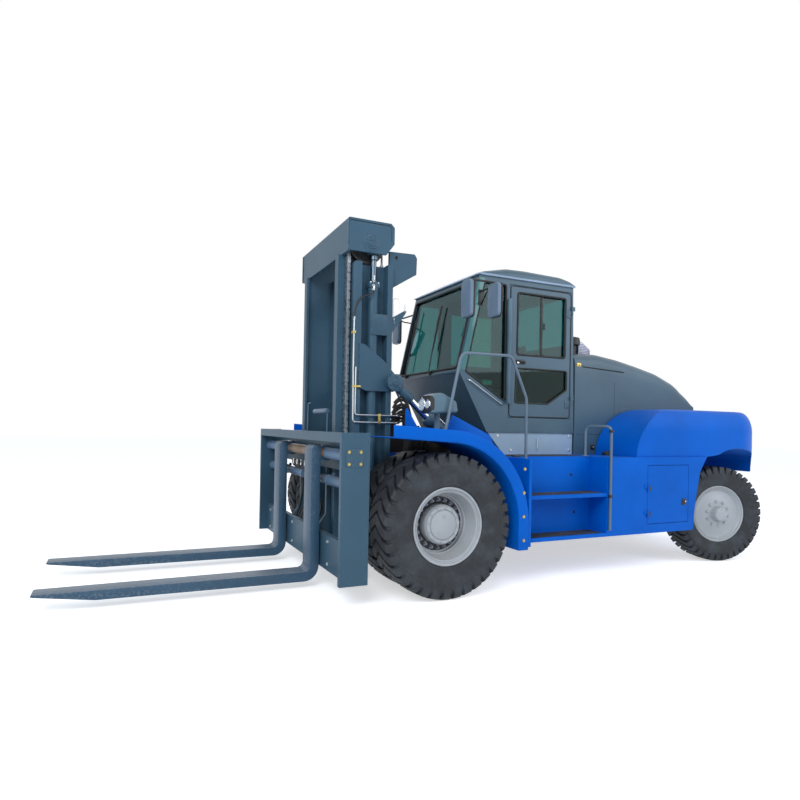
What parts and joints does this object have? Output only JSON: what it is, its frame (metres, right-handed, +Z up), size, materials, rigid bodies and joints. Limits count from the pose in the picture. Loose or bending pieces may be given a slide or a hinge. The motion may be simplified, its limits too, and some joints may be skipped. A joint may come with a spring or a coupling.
{
  "type": "heavy diesel forklift truck",
  "caption": "Heavy diesel counterbalance forklift: tilting telescopic mast, shaft-hung forks, twin drive tyres, glazed cab, hinged engine hood and steered rear wheels.",
  "frame": {"origin": "on the floor, under the middle of the truck's overall box", "axes": "+X forward along the forks, +Y to the driver's left, +Z up"},
  "size_m": [8.72, 3.25, 3.78],
  "materials": {
    "body_blue": "gloss blue enamel, dusty",
    "graphite": "satin graphite grey paint",
    "plinth_grey": "light grey paint",
    "mast_slate": "satin slate blue-grey paint, worn",
    "lamp_grey": "satin grey-blue paint",
    "rail_grey": "grey powder coat",
    "rim_silver": "silver-grey paint, dusty",
    "tyre": "black rubber with lugs",
    "chrome": "hard chrome",
    "chain_steel": "oiled bare steel",
    "exhaust_steel": "perforated bright steel",
    "engine_iron": "dark cast iron",
    "axle_black": "black chassis paint",
    "black_plastic": "matt black",
    "seat_fabric": "dark woven fabric",
    "glass": "teal tinted safety glass"
  },
  "bodies": {
    "chassis": {"frame": "body_blue", "drive_axle": "axle_black", "steer_axle": "axle_black", "side_bodies": "body_blue", "side_steps": "body_blue", "front_fenders": "body_blue", "counterweight": "body_blue", "engine_cowl": "graphite", "engine_block": "engine_iron", "cab_shell": "graphite", "cab_roof": "graphite", "cab_glass": "glass", "cab_plinth": "plinth_grey", "seat": "seat_fabric", "console": "black_plastic", "headlights": "lamp_grey", "handrails": "rail_grey", "mirrors": "black_plastic"},
    "cab_door": {"cab_door": "graphite", "door_glass": "glass"},
    "hood": {"engine_hood": "graphite", "air_cleaner": "black_plastic", "exhaust": "exhaust_steel"},
    "service_door": {"service_door": "body_blue"},
    "mast_outer": {"outer_mast": "mast_slate", "lift_cylinders": "mast_slate"},
    "mast_inner": {"inner_mast": "mast_slate", "lift_rods": "chrome", "sheaves": "axle_black"},
    "carriage": {"carriage": "mast_slate", "fork_shaft": "chain_steel", "positioners": "mast_slate", "lift_chains": "chain_steel"},
    "fork_left": {"fork_left": "mast_slate"},
    "fork_right": {"fork_right": "mast_slate"},
    "drive_wheel_left": {"drive_tyres_left": "tyre", "drive_rim_left": "rim_silver"},
    "knuckle_left": {"knuckle_left": "axle_black"},
    "steer_wheel_left": {"steer_tyre_left": "tyre", "steer_rim_left": "rim_silver"},
    "tilt_barrel_left": {"tilt_barrel_left": "mast_slate"},
    "tilt_rod_left": {"tilt_rod_left": "chrome"},
    "drive_wheel_right": {"drive_tyres_right": "tyre", "drive_rim_right": "rim_silver"},
    "knuckle_right": {"knuckle_right": "axle_black"},
    "steer_wheel_right": {"steer_tyre_right": "tyre", "steer_rim_right": "rim_silver"},
    "tilt_barrel_right": {"tilt_barrel_right": "mast_slate"},
    "tilt_rod_right": {"tilt_rod_right": "chrome"}
  },
  "joints": [
    {"name": "mast_tilt", "type": "hinge", "parent": "chassis", "child": "mast_outer", "pos_m": [0.82, 0, 0.7], "axis": [0, 1, 0], "range_deg": [-10, 6]},
    {"name": "mast_lift", "type": "slide", "parent": "mast_outer", "child": "mast_inner", "axis": [0, 0, 1], "range_m": [0, 1.5]},
    {"name": "carriage_lift", "type": "slide", "parent": "mast_inner", "child": "carriage", "axis": [0, 0, 1], "range_m": [0, 1.5], "deforming": ["lift_chains"]},
    {"name": "fork_left_shift", "type": "slide", "parent": "carriage", "child": "fork_left", "axis": [0, 1, 0], "range_m": [-0.42, 0.74]},
    {"name": "fork_right_shift", "type": "slide", "parent": "carriage", "child": "fork_right", "axis": [0, -1, 0], "range_m": [-0.42, 0.74]},
    {"name": "cab_door_swing", "type": "hinge", "parent": "chassis", "child": "cab_door", "pos_m": [-1.388, 0.784, 2.5], "axis": [0, 0, 1], "range_deg": [0, 95]},
    {"name": "hood_lift", "type": "hinge", "parent": "chassis", "child": "hood", "pos_m": [-3.6, 0, 1.96], "axis": [0, -1, 0], "range_deg": [0, 50]},
    {"name": "service_door_swing", "type": "hinge", "parent": "chassis", "child": "service_door", "pos_m": [-1.957, 1.46, 0.9], "axis": [0, 0, -1], "range_deg": [0, 100]},
    {"name": "drive_spin_left", "type": "hinge", "parent": "chassis", "child": "drive_wheel_left", "pos_m": [0.82, 1.437, 0.7], "axis": [0, 1, 0], "continuous": true},
    {"name": "steer_left", "type": "hinge", "parent": "chassis", "child": "knuckle_left", "pos_m": [-3.43, 0.98, 0.605], "axis": [0, 0, 1], "range_deg": [-50, 80]},
    {"name": "steer_spin_left", "type": "hinge", "parent": "knuckle_left", "child": "steer_wheel_left", "pos_m": [-3.36271, 1.23114, 0.605], "axis": [0.2588, 0.9659, 0], "continuous": true},
    {"name": "tilt_barrel_left_swing", "type": "hinge", "parent": "chassis", "child": "tilt_barrel_left", "pos_m": [0.02, 0.85, 1.19], "axis": [0, 1, 0], "range_deg": [-8.2, 5]},
    {"name": "tilt_rod_left_slide", "type": "slide", "parent": "tilt_barrel_left", "child": "tilt_rod_left", "axis": [0.7557, 0, 0.6549], "range_m": [-0.159, 0.096]},
    {"name": "drive_spin_right", "type": "hinge", "parent": "chassis", "child": "drive_wheel_right", "pos_m": [0.82, -1.437, 0.7], "axis": [0, 1, 0], "continuous": true},
    {"name": "steer_right", "type": "hinge", "parent": "chassis", "child": "knuckle_right", "pos_m": [-3.43, -0.98, 0.605], "axis": [0, 0, 1], "range_deg": [-50, 80]},
    {"name": "steer_spin_right", "type": "hinge", "parent": "knuckle_right", "child": "steer_wheel_right", "pos_m": [-3.49729, -1.23114, 0.605], "axis": [0.2588, 0.9659, 0], "continuous": true},
    {"name": "tilt_barrel_right_swing", "type": "hinge", "parent": "chassis", "child": "tilt_barrel_right", "pos_m": [0.02, -0.85, 1.19], "axis": [0, 1, 0], "range_deg": [-8.2, 5]},
    {"name": "tilt_rod_right_slide", "type": "slide", "parent": "tilt_barrel_right", "child": "tilt_rod_right", "axis": [0.7557, 0, 0.6549], "range_m": [-0.159, 0.096]}
  ],
  "couplings": [
    {"joint": "carriage_lift", "follows": "mast_lift", "ratio": 1},
    {"joint": "steer_right", "follows": "steer_left", "ratio": 1},
    {"joint": "tilt_barrel_left_swing", "follows": "mast_tilt", "ratio": 0.81},
    {"joint": "tilt_rod_left_slide", "follows": "mast_tilt", "m_per_rad": 0.9},
    {"joint": "tilt_barrel_right_swing", "follows": "mast_tilt", "ratio": 0.81},
    {"joint": "tilt_rod_right_slide", "follows": "mast_tilt", "m_per_rad": 0.9}
  ]
}
